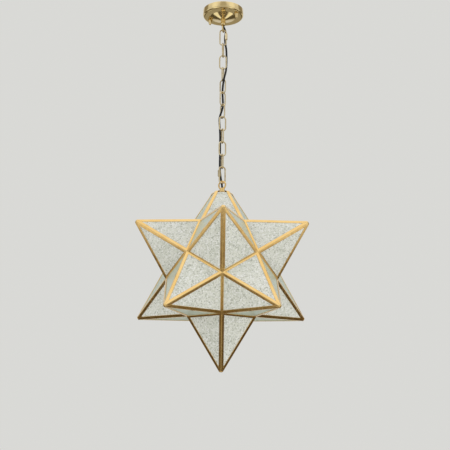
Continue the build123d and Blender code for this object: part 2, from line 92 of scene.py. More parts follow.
# Grid of quads: row r, column c joins (r, c), (r, c+1), (r+1, c+1), (r+1, c); a direction that goes
# around also joins its last to its first.
def gridFaces(rows, columns, aroundRows=False, aroundColumns=False):
    row, column = np.meshgrid(np.arange(rows - (not aroundRows)), np.arange(columns - (not aroundColumns)),
                              indexing="ij")
    nextRow, nextColumn = (row + 1) % rows, (column + 1) % columns
    corners = [row * columns + column, row * columns + nextColumn, nextRow * columns + nextColumn,
               nextRow * columns + column]
    return np.stack(corners, -1).reshape(-1, 4).tolist()


# The two faces that close the first and the last row of such a grid.
def endFaces(rows, columns):
    last = (rows - 1) * columns
    return [list(range(columns)), list(range(last, last + columns))]


# Several shells of (points, faces) as one.
def joined(shells):
    points, faces, start = [], [], 0
    for shellPoints, shellFaces in shells:
        points.append(shellPoints)
        faces += [[corner + start for corner in face] for face in shellFaces]
        start += len(shellPoints)
    return np.concatenate(points), faces


mergeDistance = 2e-6   # metres


# Closed shells in millimetres become one piece: doubles merged, faces outwards, riding on its body. Edges
# that turn by more than sharp degrees stay sharp.
def newPiece(name, shells, material, body=None, replaced=(), sharp=32):
    points, faces = joined(shells)
    mesh = bpy.data.meshes.new(name)
    mesh.from_pydata((points * mm).tolist(), [], faces)
    work = bmesh.new()
    work.from_mesh(mesh)
    bmesh.ops.remove_doubles(work, verts=work.verts, dist=mergeDistance)
    bmesh.ops.recalc_face_normals(work, faces=work.faces)
    work.to_mesh(mesh)
    work.free()
    mesh.polygons.foreach_set("use_smooth", [True] * len(mesh.polygons))
    mesh.set_sharp_from_angle(angle=radians(sharp))
    mesh.materials.append(material)
    piece = bpy.data.objects.new(name, mesh)
    addToScene(piece)
    if body:
        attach(piece, body)
    if replaced:
        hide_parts(*replaced)
    return piece


# Profile of (radius, height) turned about Z: point = (r cos a, r sin a, z). Lobes, where given, is a
# function of angle and row that says how far out the profile may go there.
def lathed(profile, around=72, closed=True, lobes=None):
    profile = np.asarray(profile, float)
    angle = np.linspace(0, 2 * pi, around, endpoint=False)
    radius = np.repeat(profile[:, :1], around, 1)
    if lobes is not None:
        radius = np.minimum(radius, lobes(angle, profile))
    height = np.repeat(profile[:, 1:], around, 1)
    points = np.stack([radius * np.cos(angle), radius * np.sin(angle), height], -1)
    return points.reshape(-1, 3), gridFaces(len(profile), around, closed, True)


# Points (r, z) on an arc about a centre: centre + radius (cos a, sin a), angles in degrees.
def arcPoints(centre, radius, start, end, count=8):
    angle = np.radians(np.linspace(start, end, count))
    return np.stack([centre[0] + radius * np.cos(angle), centre[1] + radius * np.sin(angle)], -1).tolist()


# Smooth line through given points: on each span the cubic a + b t + c t^2 + d t^3 whose slope at a point
# is half of the step between that point's neighbours. The line is carried straight on past both ends.
def smoothLine(points, steps=6):
    points = np.asarray(points, float)
    padded = np.concatenate([[2 * points[0] - points[1]], points, [2 * points[-1] - points[-2]]])
    before, here, after, beyond = (padded[i:len(padded) - 3 + i, None] for i in range(4))
    t = np.linspace(0, 1, steps, endpoint=False)[None, :, None]
    spans = 0.5 * (2 * here + (after - before) * t + (2 * before - 5 * here + 4 * after - beyond) * t ** 2
                   + (3 * here - before - 3 * after + beyond) * t ** 3)
    return np.concatenate([spans.reshape(-1, points.shape[1]), points[-1:]])


# Frame carried along a path without twist: the directions n and b at each point, square to ahead. Round a
# closed path, what n is off by at the end is shared out evenly: n cos share + (ahead x n) sin share.
def carriedFrame(path, closed):
    ahead = np.roll(path, -1, 0) - np.roll(path, 1, 0)
    if not closed:
        ahead[0], ahead[-1] = path[1] - path[0], path[-1] - path[-2]
    ahead /= np.linalg.norm(ahead, axis=1)[:, None]
    aside = np.array([0.13, 0.97, 0.21] if abs(ahead[0][1]) < 0.9 else [0.97, 0.13, 0.21])
    normals = [np.cross(ahead[0], aside)]
    for step in ahead[1:]:
        normals.append(normals[-1] - step * normals[-1].dot(step))
    normal = np.array(normals)
    normal /= np.linalg.norm(normal, axis=1)[:, None]
    if closed:
        last = normal[-1] - ahead[0] * normal[-1].dot(ahead[0])
        drift = atan2(np.cross(last, normal[0]).dot(ahead[0]), last.dot(normal[0]))
        share = drift * np.arange(len(path))[:, None] / len(path)
        normal = normal * np.cos(share) + np.cross(ahead, normal) * np.sin(share)
    return normal, np.cross(ahead, normal)


# Round tube along a path: each ring is centre + r (cos a n + sin a b).
def tubeAlong(path, radius, around=16, closed=False):
    path = np.asarray(path, float)
    normal, binormal = carriedFrame(path, closed)
    angle = np.linspace(0, 2 * pi, around, endpoint=False)[None, :, None]
    radius = np.broadcast_to(np.asarray(radius, float), (len(path),))[:, None, None]
    ring = normal[:, None] * np.cos(angle) + binormal[:, None] * np.sin(angle)
    points = path[:, None] + radius * ring
    faces = gridFaces(len(path), around, closed, True)
    if not closed:
        faces += endFaces(len(path), around)
    return points.reshape(-1, 3), faces


def turnZ(turn):
    c, s = cos(radians(turn)), sin(radians(turn))
    return np.array([[c, -s, 0], [s, c, 0], [0, 0, 1.0]])


def turnX(turn):
    c, s = cos(radians(turn)), sin(radians(turn))
    return np.array([[1.0, 0, 0], [0, c, -s], [0, s, c]])


# Shell turned by a matrix, then moved.
def placed(shell, turn=None, at=(0, 0, 0)):
    points, faces = shell
    return (points if turn is None else points @ turn.T) + np.array(at, float), faces


def unit(vector):
    vector = np.asarray(vector, float)
    return vector / np.linalg.norm(vector)


# Finishes. Each has its two tones, how rough it is, and how fine its patches are (more is finer).
finishes = {
    "brass": {"colour": (0.88, 0.62, 0.27), "dark": (0.82, 0.54, 0.20), "roughness": 0.13, "patch": 18.0},
    "canopy": {"colour": (0.84, 0.67, 0.36), "dark": (0.80, 0.61, 0.30), "roughness": 0.09, "patch": 14.0},
    "chain": {"colour": (0.80, 0.69, 0.47), "dark": (0.60, 0.47, 0.28), "roughness": 0.16, "patch": 90.0},
    "zinc": {"colour": (0.62, 0.63, 0.64), "dark": (0.42, 0.43, 0.45), "roughness": 0.36, "patch": 120.0},
    "cap": {"colour": (0.78, 0.78, 0.77), "dark": (0.55, 0.55, 0.54), "roughness": 0.30, "patch": 150.0},
}
# Pairs in the glass say between which values of its field a shade goes from none to its most.
# The glass's glint is painted light: near-white cells in its colour stand for highlights on the seeds.
seededGlass = {"clear": (0.84, 0.85, 0.76), "cloud": (0.74, 0.76, 0.67), "speck": (0.30, 0.31, 0.24),
               "paintedGlint": (1.0, 1.0, 0.97), "edge": (0.58, 0.68, 0.56), "seeds": 430.0, "roughness": 0.24,
               "transmission": 0.18, "ior": 1.5, "bump": 0.35, "bumpDepth": 0.0008, "clouds": 26.0,
               "cloudy": (0.36, 0.60), "specked": (0.62, 1.0), "speckMost": 0.62,
               "paintedGlinting": (0.60, 0.90), "paintedGlintMost": 0.9, "blend": 0.42, "grazing": (0.50, 0.86)}
lampGlass = {"thin": (0.90, 0.92, 0.91), "thick": (0.97, 0.98, 0.97), "streaks": 30.0,
             "tones": (0.3, 0.7), "roughness": 0.05, "transmission": 0.9, "ior": 1.45}
mouldings = {
    "cord": {"colour": (0.022, 0.021, 0.020), "dark": (0.008, 0.008, 0.009), "roughness": 0.42,
             "grain": 240.0, "gloss": 0.22},
    "holder": {"colour": (0.04, 0.04, 0.04), "dark": (0.015, 0.015, 0.015), "roughness": 0.38,
               "grain": 160.0, "gloss": 0.5},
    "insert": {"colour": (0.88, 0.87, 0.83), "dark": (0.78, 0.77, 0.72), "roughness": 0.20,
               "grain": 60.0, "gloss": 0.5},
}
# What all the metals, and all the mouldings, have in common. Finer is how much finer the second field is
# than the first, and depths are in metres.
metalLook = {"tones": (0.30, 0.62), "finer": 9, "fineTones": (0.3, 0.7), "smoother": 0.05, "rougher": 0.07,
             "waves": 70.0, "waveDepth": 0.001}
mouldedLook = {"tones": (0.35, 0.7), "finer": 3, "bump": 0.15, "bumpDepth": 0.0003}


def newMaterial(name):
    material = bpy.data.materials.new(name)
    material.use_nodes = True
    tree = material.node_tree
    return material, tree, tree.nodes["Principled BSDF"]


def setInputs(node, values):
    for name, value in values.items():
        node.inputs[name].default_value = value


def addNode(tree, kind, values=None):
    node = tree.nodes.new(f"ShaderNode{kind}")
    setInputs(node, values or {})
    return node


# Noise on Object coordinates, so that it stays on the piece.
def noise(tree, scale, detail=4.0, roughness=0.6):
    place = addNode(tree, "TexCoord")
    field = addNode(tree, "TexNoise", {"Scale": scale, "Detail": detail, "Roughness": roughness})
    tree.links.new(place.outputs["Object"], field.inputs["Vector"])
    return field.outputs["Fac"]


# Colour by a value: eased between stops of (value, colour).
def ramp(tree, value, stops):
    node = addNode(tree, "ValToRGB")
    node.color_ramp.interpolation = "EASE"
    while len(node.color_ramp.elements) < len(stops):
        node.color_ramp.elements.new(0.5)
    for element, (position, colour) in zip(node.color_ramp.elements, stops):
        element.position = position
        element.color = (*colour, 1.0)
    tree.links.new(value, node.inputs["Fac"])
    return node.outputs["Color"]


# Colour = first + amount (second - first).
def mixed(tree, amount, first, second):
    node = addNode(tree, "Mix")
    node.data_type = "RGBA"
    for entry, value in zip((node.inputs[0], node.inputs[6], node.inputs[7]), (amount, first, second)):
        if isinstance(value, tuple):
            entry.default_value = (*value, 1.0)
        else:
            tree.links.new(value, entry)
    return node.outputs[2]


# Tones of a finish by a field: dark at the first stop, its colour at the second.
def toned(tree, shader, field, stops, dark, colour):
    tone = ramp(tree, field, list(zip(stops, (dark, colour))))
    tree.links.new(tone, shader.inputs["Base Color"])


def bumped(tree, shader, height, strength, distance):
    node = addNode(tree, "Bump", {"Strength": strength, "Distance": distance})
    tree.links.new(height, node.inputs["Height"])
    tree.links.new(node.outputs["Normal"], shader.inputs["Normal"])


# Lacquered metal: two tones in soft patches, roughness that varies a little, and faint waviness.
def metal(name, finish, wave=0.05):
    material, tree, shader = newMaterial(name)
    patches = noise(tree, finish["patch"], 5.0)
    toned(tree, shader, patches, metalLook["tones"], finish["dark"], finish["colour"])
    levels = (finish["roughness"] - metalLook["smoother"], finish["roughness"] + metalLook["rougher"])
    fine = noise(tree, finish["patch"] * metalLook["finer"], 3.0)
    rough = ramp(tree, fine, [(stop, (level,) * 3) for stop, level in zip(metalLook["fineTones"], levels)])
    tree.links.new(rough, shader.inputs["Roughness"])
    shader.inputs["Metallic"].default_value = 1.0
    bumped(tree, shader, noise(tree, metalLook["waves"], 2.0), wave, metalLook["waveDepth"])
    return material


# A share that grows from 0 to most between two values of a field.
def shareOf(tree, value, between, most=1.0):
    return ramp(tree, value, [(between[0], (0, 0, 0)), (between[1], (most,) * 3)])


# Glass full of seeds: each cell has its own share of a dark fleck and of a painted glint, a near-white
# highlight mixed into the colour; soft clouds vary the body, the distance from a cell's middle is the bump, and
# grazing angles turn the glass green.
def glassMaterial():
    material, tree, shader = newMaterial("seededGlass")
    place = addNode(tree, "TexCoord")
    cells = addNode(tree, "TexVoronoi", {"Scale": seededGlass["seeds"]})
    tree.links.new(place.outputs["Object"], cells.inputs["Vector"])
    body = ramp(tree, noise(tree, seededGlass["clouds"], 6.0, 0.7),
                list(zip(seededGlass["cloudy"], (seededGlass["cloud"], seededGlass["clear"]))))
    pick = addNode(tree, "SeparateColor")
    tree.links.new(cells.outputs["Color"], pick.inputs["Color"])
    darkCells = shareOf(tree, pick.outputs["Red"], seededGlass["specked"], seededGlass["speckMost"])
    # Painted glint: some cells get a near-white highlight mixed into the colour.
    paintedGlintCells = shareOf(tree, pick.outputs["Green"], seededGlass["paintedGlinting"], seededGlass["paintedGlintMost"])
    specked = mixed(tree, darkCells, body, seededGlass["speck"])
    paintedGlinting = mixed(tree, paintedGlintCells, specked, seededGlass["paintedGlint"])
    facing = addNode(tree, "LayerWeight", {"Blend": seededGlass["blend"]})
    grazing = shareOf(tree, facing.outputs["Facing"], seededGlass["grazing"])
    tree.links.new(mixed(tree, grazing, paintedGlinting, seededGlass["edge"]), shader.inputs["Base Color"])
    setInputs(shader, {"Roughness": seededGlass["roughness"], "IOR": seededGlass["ior"],
                       "Transmission Weight": seededGlass["transmission"]})
    bumped(tree, shader, cells.outputs["Distance"], seededGlass["bump"], seededGlass["bumpDepth"])
    return material


# Moulded plastic or glazed ceramic with a fine grain.
def moulded(name, finish):
    material, tree, shader = newMaterial(name)
    grain = noise(tree, finish["grain"], 4.0)
    toned(tree, shader, grain, mouldedLook["tones"], finish["dark"], finish["colour"])
    setInputs(shader, {"Roughness": finish["roughness"], "Specular IOR Level": finish["gloss"]})
    fine = noise(tree, finish["grain"] * mouldedLook["finer"], 2.0)
    bumped(tree, shader, fine, mouldedLook["bump"], mouldedLook["bumpDepth"])
    return material


# Clear glass, a little darker in soft streaks.
def clearGlass():
    material, tree, shader = newMaterial("lampGlass")
    streaks = noise(tree, lampGlass["streaks"])
    toned(tree, shader, streaks, lampGlass["tones"], lampGlass["thin"], lampGlass["thick"])
    setInputs(shader, {"Roughness": lampGlass["roughness"], "IOR": lampGlass["ior"],
                       "Transmission Weight": lampGlass["transmission"]})
    return material


brass = metal("lacqueredBrass", finishes["brass"])
canopyBrass = metal("canopyBrass", finishes["canopy"], 0.02)
chainBrass = metal("chainBrass", finishes["chain"])
zinc = metal("zincPlate", finishes["zinc"])
capMetal = metal("screwCapMetal", finishes["cap"])
glass = glassMaterial()
cordBlack = moulded("cordSheath", mouldings["cord"])
slotMaterials = {
    "brass": brass, "chain_brass": chainBrass, "seeded_glass": glass, "zinc_steel": zinc,
    "cord_black": cordBlack, "cap_metal": capMetal, "lamp_glass": clearGlass(),
    "holder_black": moulded("holderMoulding", mouldings["holder"]),
    "holder_white": moulded("glazedInsert", mouldings["insert"])}
for part in frame["record"]["subparts"]:
    node = nodes[part["node"]]
    node.data.materials.clear()
    node.data.materials.append(slotMaterials[part["material_slot"]])
print("materials made")

# The power cord, woven through the chain. It is held all the way, and is cut into one span for each joint.
powerCord = {"radius": 2.4, "sides": 20, "bend": 6.0, "start": (0, 0, -2), "route": [
    (0.2, -0.1, -22), (0, 0, -34), (0, 0.1, -42), (4, 2.8, -47.5), (6.9, 6.6, -56), (4.6, 8.3, -66),
    (4.8, 8.9, -77), (6.5, 9.5, -88), (8.4, 10.2, -99), (9.1, 10.3, -115), (9.1, 9.1, -134), (8.7, 6.2, -148),
    (7.4, 0.3, -162), (4.8, -6.3, -175), (2.2, -8.3, -187), (0.1, -2.1, -201), (-0.7, 5.7, -214),
    (0.3, 8.8, -230), (1.2, 6.9, -250), (-2.4, 1.7, -265), (-8.2, 2.1, -282), (-7, 2.8, -300),
    (-5.5, 3.1, -322), (-5.5, 3.3, -345), (-5.3, 3.8, -366), (-5.9, 4.6, -390), (-5.8, 6, -410),
    (-3.5, 7.2, -430), (-1.5, 7, -441), (-0.5, 3.8, -449.5), (0, 0, -456), (0, 0.1, -465),
    (0.1, 0.1, -476), (0, 0.2, -487)], "end": (0, 0, -499.1)}
chain = {"wire": 3.2, "length": 32.0, "width": 12.6, "corner": 7.5, "firstTop": -88.6, "pitch": 31.7,
         "turns": (82, -3, 76, -38, 40, -54, 20, -76, 14, -78), "weld": 0.12, "weldAt": 0.75,
         "weldReach": 1.1, "sides": 18, "steps": 96}
quickLink = {"length": 36.0, "width": 12.2, "corner": 6.0, "tops": (-52.9, -405.6), "turns": (4, 206),
             "gap": (10.0, 15.5), "sleeve": (8.5, 24.5), "flats": 6.2, "bore": 1.65, "mouth": 0.25,
             "chamfer": 0.7, "steps": 240}


# The cord's middle line, read from a NURBS spline whose control points are the route.
def cordLine():
    route = [powerCord["start"], *powerCord["route"], powerCord["end"]]
    curve = bpy.data.curves.new("cordRoute", "CURVE")
    curve.dimensions = "3D"
    curve.resolution_u = 10
    spline = curve.splines.new("NURBS")
    spline.points.add(len(route) - 1)
    for point, place in zip(spline.points, route):
        point.co = (*(part * mm for part in place), 1)
    spline.order_u = 3
    spline.use_endpoint_u = True
    holder = bpy.data.objects.new("cordRoute", curve)
    addToScene(holder)
    bpy.context.view_layer.update()
    mesh = bpy.data.meshes.new_from_object(holder)
    line = np.empty(len(mesh.vertices) * 3)
    mesh.vertices.foreach_get("co", line)
    bpy.data.objects.remove(holder)
    bpy.data.curves.remove(curve)
    bpy.data.meshes.remove(mesh)
    return line.reshape(-1, 3) / mm


# Point of a falling line at a level, between the two points next to it.
def cutAt(line, level):
    order = np.argsort(line[:, 2])
    return np.array([np.interp(level, line[order, 2], line[order, axis]) for axis in range(3)])


# The spans are cut at the middle height of each link, so that each crosses one joint's pivot.
def addCord():
    fine = smoothLine(cordLine(), 3)
    sameLevel = 1e-6
    linkMiddles = [chain["firstTop"] - chain["pitch"] * i - (chain["length"] + chain["wire"]) / 2
                   for i in range(len(chain["turns"]))]
    quickMiddles = [top - (quickLink["length"] + chain["wire"]) / 2 for top in quickLink["tops"]]
    cuts = [fine[0][2], quickMiddles[0], *linkMiddles, quickMiddles[1], fine[-1][2]]
    links = [f"chain_link_{i + 1:02d}" for i in range(len(linkMiddles))]
    bodies = ["ceiling_fixture", "top_quick_link", *links, "bottom_quick_link", "star"]
    swings = ["top_quick_link_swing", *[f"{link}_swing" for link in links], "bottom_quick_link_swing",
              "star_swing"]
    pivots = [joints[name]["pos_m"][2] / mm for name in swings]
    spans = []
    for top, bottom, above, below, pivot in zip(cuts, cuts[1:], bodies, bodies[1:], pivots):
        path = fine[(fine[:, 2] <= top + sameLevel) & (fine[:, 2] >= bottom - sameLevel)]
        if abs(path[0][2] - top) > sameLevel:
            path = np.concatenate([[cutAt(fine, top)], path])
        if abs(path[-1][2] - bottom) > sameLevel:
            path = np.concatenate([path, [cutAt(fine, bottom)]])
        span = newPiece(f"cordSpan{len(spans) + 1:02d}",
                        [tubeAlong(path, powerCord["radius"], powerCord["sides"])], cordBlack)
        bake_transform(span)
        spans.append(span)
    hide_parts("power_cord")
    return spans


cordSpans = addCord()
print("cord laid:", len(cordSpans), "spans")


# Middle line of a link: straight sides and rounded corners, from the top bar's middle round to it again,
# in the XZ plane, with points at even steps of its length. Also each point's distance along it, and its
# whole length.
def linkPath(link):
    half, drop = (link["width"] + chain["wire"]) / 2, link["length"] + chain["wire"]
    corner, count = min(link["corner"], half), link["steps"]
    outline = [(0.0, 0.0)]
    for centre, start in (((half - corner, -corner), 90), ((half - corner, corner - drop), 0),
                          ((corner - half, corner - drop), -90), ((corner - half, -corner), -180)):
        outline += arcPoints(centre, corner, start, start - 90, 13)
    outline = np.array(outline + [(0.0, 0.0)])
    travelled = np.concatenate([[0], np.cumsum(np.linalg.norm(np.diff(outline, axis=0), axis=1))])
    steps = np.linspace(0, travelled[-1], count, endpoint=False)
    across, height = (np.interp(steps, travelled, outline[:, axis]) for axis in (0, 1))
    return np.stack([across, np.zeros(count), height], -1), steps, travelled[-1]


# A welded link is a closed tube; its radius grows by a bell curve at the weld, in the middle of a leg.
def addLinks():
    path, steps, total = linkPath(chain)
    swell = chain["weld"] * np.exp(-((steps - total * chain["weldAt"]) / chain["weldReach"]) ** 2)
    shape = tubeAlong(path, chain["wire"] / 2 * (1 + swell), chain["sides"], closed=True)
    for i, turn in enumerate(chain["turns"]):
        name = f"chain_link_{i + 1:02d}"
        shell = placed(shape, turnZ(turn), (0, 0, chain["firstTop"] - chain["pitch"] * i))
        newPiece(f"weldedLink{i + 1:02d}", [shell], chainBrass, name, [name])


# Hexagon: the radius at an angle is apothem / cos(angle from the nearest flat). Rows of the profile that
# lie within inner stay round.
def hexLobes(apothem, inner):
    def limit(angle, profile):
        side = apothem / np.cos((angle + pi / 6) % (pi / 3) - pi / 6)
        return np.where(profile[:, :1] <= inner, np.inf, side[None, :])
    return limit


# Six-sided sleeve about Z with turned-off corners: its profile goes out along the top and back below.
def hexSleeve(top, bottom):
    bore, mouth, flats, chamfer = (quickLink[name] for name in ("bore", "mouth", "flats", "chamfer"))
    reach = flats / sqrt(3)
    rounded, eased = reach - chamfer * 0.4, chamfer * 0.35
    profile = [(bore, top), (bore + mouth, top), (reach - chamfer, top), (rounded, top - eased),
               (reach, top - chamfer), (reach, bottom + chamfer), (rounded, bottom + eased),
               (reach - chamfer, bottom), (bore + mouth, bottom), (bore, bottom)]
    return lathed(profile, lobes=hexLobes(flats / 2, bore + mouth * 1.2))


# A quick link is the same loop, open at its gap, with a screwed sleeve over it.
def addQuickLinks():
    path = linkPath(quickLink)[0]
    leg = (quickLink["width"] + chain["wire"]) / 2
    gapTop, gapBottom = (-level for level in quickLink["gap"])
    inGap = (path[:, 0] > leg - 0.01) & (path[:, 2] < gapTop) & (path[:, 2] > gapBottom)
    last = np.flatnonzero(inGap)[-1] + 1
    opened = np.roll(path, -last, 0)[:len(path) - inGap.sum()]
    opened = np.concatenate([[(leg, 0, gapBottom)], opened, [(leg, 0, gapTop)]])
    shape = tubeAlong(opened, chain["wire"] / 2, chain["sides"])
    top, bottom = (-level for level in quickLink["sleeve"])
    sleeve = placed(hexSleeve(top, bottom), None, (leg, 0, 0))
    for name, level, turn in zip(("top", "bottom"), quickLink["tops"], quickLink["turns"]):
        newPiece(f"{name}QuickLink", [placed(shape, turnZ(turn), (0, 0, level))], chainBrass,
                 f"{name}_quick_link", [f"{name}_quick_link"])
        newPiece(f"{name}Sleeve", [placed(sleeve, turnZ(turn), (0, 0, level))], chainBrass,
                 f"{name}_sleeve", [f"{name}_quick_link_sleeve"])


addLinks()
addQuickLinks()
print("chain made")

# The canopy and its ball nuts, and the rings above and below the chain.
# coneStart and coneEnd are steps out and up from the cone's upper and lower corner, and the nut's outline
# is in shares of its radius and length, from its end upwards.
canopy = {"radius": 50.0, "height": 17.0, "wall": 1.0, "corner": 5.0, "coneRadius": 31.0, "coneFoot": 7.5,
          "coneDrop": 7.0, "bore": 5.05, "lip": 0.7, "sides": 128,
          "coneStart": ((2.2, 0), (0.8, 0), (-1.2, -0.45), (-3.2, -1.0)),
          "coneEnd": ((6, 1.83), (0.6, 0.12), (-0.2, 0))}
ballNut = {"radius": 5.2, "length": 12.0, "reach": 37.8, "azimuth": 59.0, "bore": 2.1, "boreDepth": 10.4,
           "pole": 0.02, "skin": 0.4, "sides": 48, "outline": (
               (0.02, 0), (0.27, 0.03), (0.5, 0.15), (0.69, 0.38), (0.9, 0.71), (1, 0.9), (0.97, 0.98),
               (0.90, 1.0))}
ringLoop = {"bar": 1.8, "path": 9.2, "stem": 6.0, "bore": 3.2, "thread": 5.05, "topTurn": 80.0,
            "starTurn": -32.0, "canopyStem": 16.0, "starStem": 8.5, "collar": 7.5, "collarHeight": 3.0,
            "threadDepth": 9.4, "neckDepth": 1.8, "rounding": 1.6, "smallRounding": 0.5, "ease": 0.3,
            "opening": 30, "flare": 0.5, "flareSteps": 4.0, "steps": 88, "sides": 20, "stemSides": 64}


# Turned shell: lip, wall, rounded corner, flat and cone outside, then the same line back, one wall inside.
def canopyShell():
    radius, height, wall, corner = (canopy[name] for name in ("radius", "height", "wall", "corner"))
    foot, lip = -height - canopy["coneDrop"], canopy["lip"]
    coneStart = smoothLine([(canopy["coneRadius"] + out, rise - height) for out, rise in canopy["coneStart"]],
                           3).tolist()
    coneEnd = [(canopy["coneFoot"] + out, foot + rise) for out, rise in canopy["coneEnd"]]
    outside = [(radius - wall, 0), *arcPoints((radius - lip, -lip), lip, 90, 0, 5),
               *arcPoints((radius - corner, corner - height), corner, 0, -90, 10), *coneStart, *coneEnd,
               (canopy["bore"], foot)]
    inside = [(canopy["bore"], foot + wall), (canopy["coneFoot"], foot + wall),
              (canopy["coneRadius"], wall - height), (radius - corner, wall - height),
              *arcPoints((radius - corner, corner - height), corner - wall, -90, 0, 6)]
    return lathed(outside + inside, canopy["sides"])


# A turned nut that closes in a ball, bored from its top.
def ballNutShell():
    bore, pole, top = ballNut["bore"], ballNut["pole"], -canopy["height"]
    deep = top - ballNut["boreDepth"]
    outside = [(out * ballNut["radius"], top - ballNut["length"] * (1 - rise))
               for out, rise in smoothLine(ballNut["outline"], 5)]
    return lathed([(pole, outside[0][1] + ballNut["skin"]), *outside, (bore, top), (bore, deep),
                   (pole, deep)], ballNut["sides"])


# A ring of round bar whose two ends stand in the wall of its stem: centre + path (cos a, sin a). The bar
# grows by a bell curve towards each end.
def ringShell(centre, turn, up):
    opening, count = ringLoop["opening"], ringLoop["steps"]
    angle = np.radians(np.linspace(90 + opening, 450 - opening, count)) + (0 if up else pi)
    path = np.stack([ringLoop["path"] * np.cos(angle), np.zeros(count), ringLoop["path"] * np.sin(angle)], -1)
    fromEnd = np.minimum(np.arange(count), np.arange(count)[::-1])
    radius = ringLoop["bar"] + ringLoop["flare"] * np.exp(-(fromEnd / ringLoop["flareSteps"]) ** 2)
    return placed(tubeAlong(path, radius, ringLoop["sides"]), turnZ(turn), (0, 0, centre))


# Quarter round at the outer corner of a turned part, from flat to wall or, where down is true, back again.
def roundCorner(radius, level, rounding, count, down=False):
    centre = (radius - rounding, level + rounding if down else level - rounding)
    return arcPoints(centre, rounding, 0 if down else 90, -90 if down else 0, count)


def addCanopy():
    newPiece("canopyShell", [canopyShell()], canopyBrass, "ceiling_fixture", ["canopy"])
    for side, name in ((1, "right"), (-1, "left")):
        place = turnZ(ballNut["azimuth"] - 90) @ np.array([side * ballNut["reach"], 0, 0])
        newPiece(f"{name}BallNut", [placed(ballNutShell(), None, place)], canopyBrass,
                 f"ball_nut_{name}", [f"canopy_ball_nut_{name}"])
    stem, bore, thread, ease = (ringLoop[name] for name in ("stem", "bore", "thread", "ease"))
    foot = -canopy["height"] - canopy["coneDrop"]
    low, deep = foot - ringLoop["canopyStem"], foot - ringLoop["threadDepth"]
    outline = [(thread, foot), *roundCorner(stem, foot, ringLoop["smallRounding"], 4),
               *roundCorner(stem, low, ringLoop["rounding"], 7, down=True), (bore + ease, low),
               (bore, low + ease), (bore, deep), (thread, deep)]
    ring = ringShell(low - ringLoop["path"] + ringLoop["bar"], ringLoop["topTurn"], True)
    newPiece("canopyLoop", [lathed(outline, ringLoop["stemSides"]), ring], canopyBrass,
             "ceiling_fixture", ["canopy_loop"])


addCanopy()
print("canopy made")

# The star's strips. Widths are on the flanges, reaches are from the star's centre to a sharp tip. Stations
# lie along a ridge from its foot, and along a valley from its middle; at the named mitres the skew of a
# mitred end has run out.
star = {"coreEdge": 96.0, "reach": 234.0, "tip": tipReach, "topReach": 222.0, "ridgeFlange": 5.9,
        "valleyFlange": 4.0, "sheet": 1.0, "foldRadius": 1.1, "valleyRadius": 0.7, "edge": 0.3,
        "doorGap": 0.5, "foldSteps": 6, "inner": 0.02, "ridgeMitre": 20, "valleyMitre": 36,
        "lowStations": (8, 20, 45, 70), "highStations": (95, 115), "valleyStations": (-30, -15, 0, 15, 30),
        "bead": 1.7, "beadSunk": 0.5, "beadRadius": 4.9, "beadFlat": 0.10, "beadSides": 40, "beadRows": 8}
coreInradius = star["coreEdge"] * sqrt((25 + 11 * sqrt(5)) / 40)
baseInradius = star["coreEdge"] / 2 / tan(pi / 5)
baseRadius = star["coreEdge"] / 2 / sin(pi / 5)
tilt = degrees(acos(1 / sqrt(5)))


# Turn that takes a point which stands up along Z to its place in the upper or the lower row.
def upper(azimuth):
    return turnZ(azimuth) @ turnX(tilt) @ turnZ(36)


def lower(azimuth):
    return turnZ(azimuth) @ turnX(180 - tilt)


# Sheet strip folded along its middle. At a station, a point of a flange lies out from the fold and up from
# the glass: up is the sheet's thickness on the flange, and at the fold the line is an arc tangent to both.
# Point = centre + skew out ahead + out (cos f side + sin f crest) + up (cos f crest - sin f side), where f
# is half of the fold's turn, negative over a ridge and positive in a valley. One half alone is a single
# flange, and inset moves it out from the fold.
def foldedBar(centres, ahead, crest, foldTurn, widths, skews, inwards=False, halves=(1, -1), inset=0.0):
    sheet = star["sheet"]
    sign = 1 if inwards else -1
    radius = star["valleyRadius"] if inwards else star["foldRadius"]
    depth = sheet + radius * sign
    along = foldTurn * np.linspace(1, 0, star["foldSteps"])
    arcOut = sign * depth * tan(foldTurn) - radius * np.sin(along)
    arcUp = depth - sign * radius * np.cos(along)
    count = len(centres)
    widths = np.asarray(widths, float)[:, None]
    bevel = np.minimum(star["edge"], widths * 0.4)
    out = np.concatenate([np.repeat(arcOut[None], count, 0), widths - bevel, widths, widths], 1) + inset
    up = np.concatenate([np.repeat(arcUp[None], count, 0), np.full((count, 1), sheet), sheet - bevel,
                         np.zeros((count, 1))], 1)
    side = np.cross(ahead, crest)
    loops = []
    for half in halves:
        outward = cos(foldTurn) * side * half + sign * sin(foldTurn) * crest
        upward = cos(foldTurn) * crest - sign * sin(foldTurn) * side * half
        loops.append(centres[:, None] + (np.asarray(skews)[:, None] * out)[..., None] * ahead
                     + out[..., None] * outward + up[..., None] * upward)
    if len(halves) == 2:
        inner = centres[:, None] + crest * star["inner"]
        ring = np.concatenate([loops[0][:, ::-1], loops[1][:, 1:], inner], 1)
    else:
        ring = np.concatenate([loops[0], (centres + outward * inset)[:, None]], 1)
    faces = gridFaces(count, ring.shape[1], False, True) + endFaces(count, ring.shape[1])
    return ring.reshape(-1, 3), faces


# Outward normal of a point's face, turned about the point's axis.
def faceNormal(reach, turn):
    return turnZ(turn) @ unit((0, -(reach - coreInradius), baseInradius))


# A face's height from its valley to the sharp tip, and half of its angle there.
def pointAngles(reach):
    slant = hypot(baseInradius, reach - coreInradius)
    return slant, atan2(star["coreEdge"] / 2, slant)


# Half width of a face at height y, less a band of this width along its ridge.
def insetHalf(reach, y, width):
    slant, halfAngle = pointAngles(reach)
    return star["coreEdge"] / 2 * (1 - y / slant) - width / cos(halfAngle)


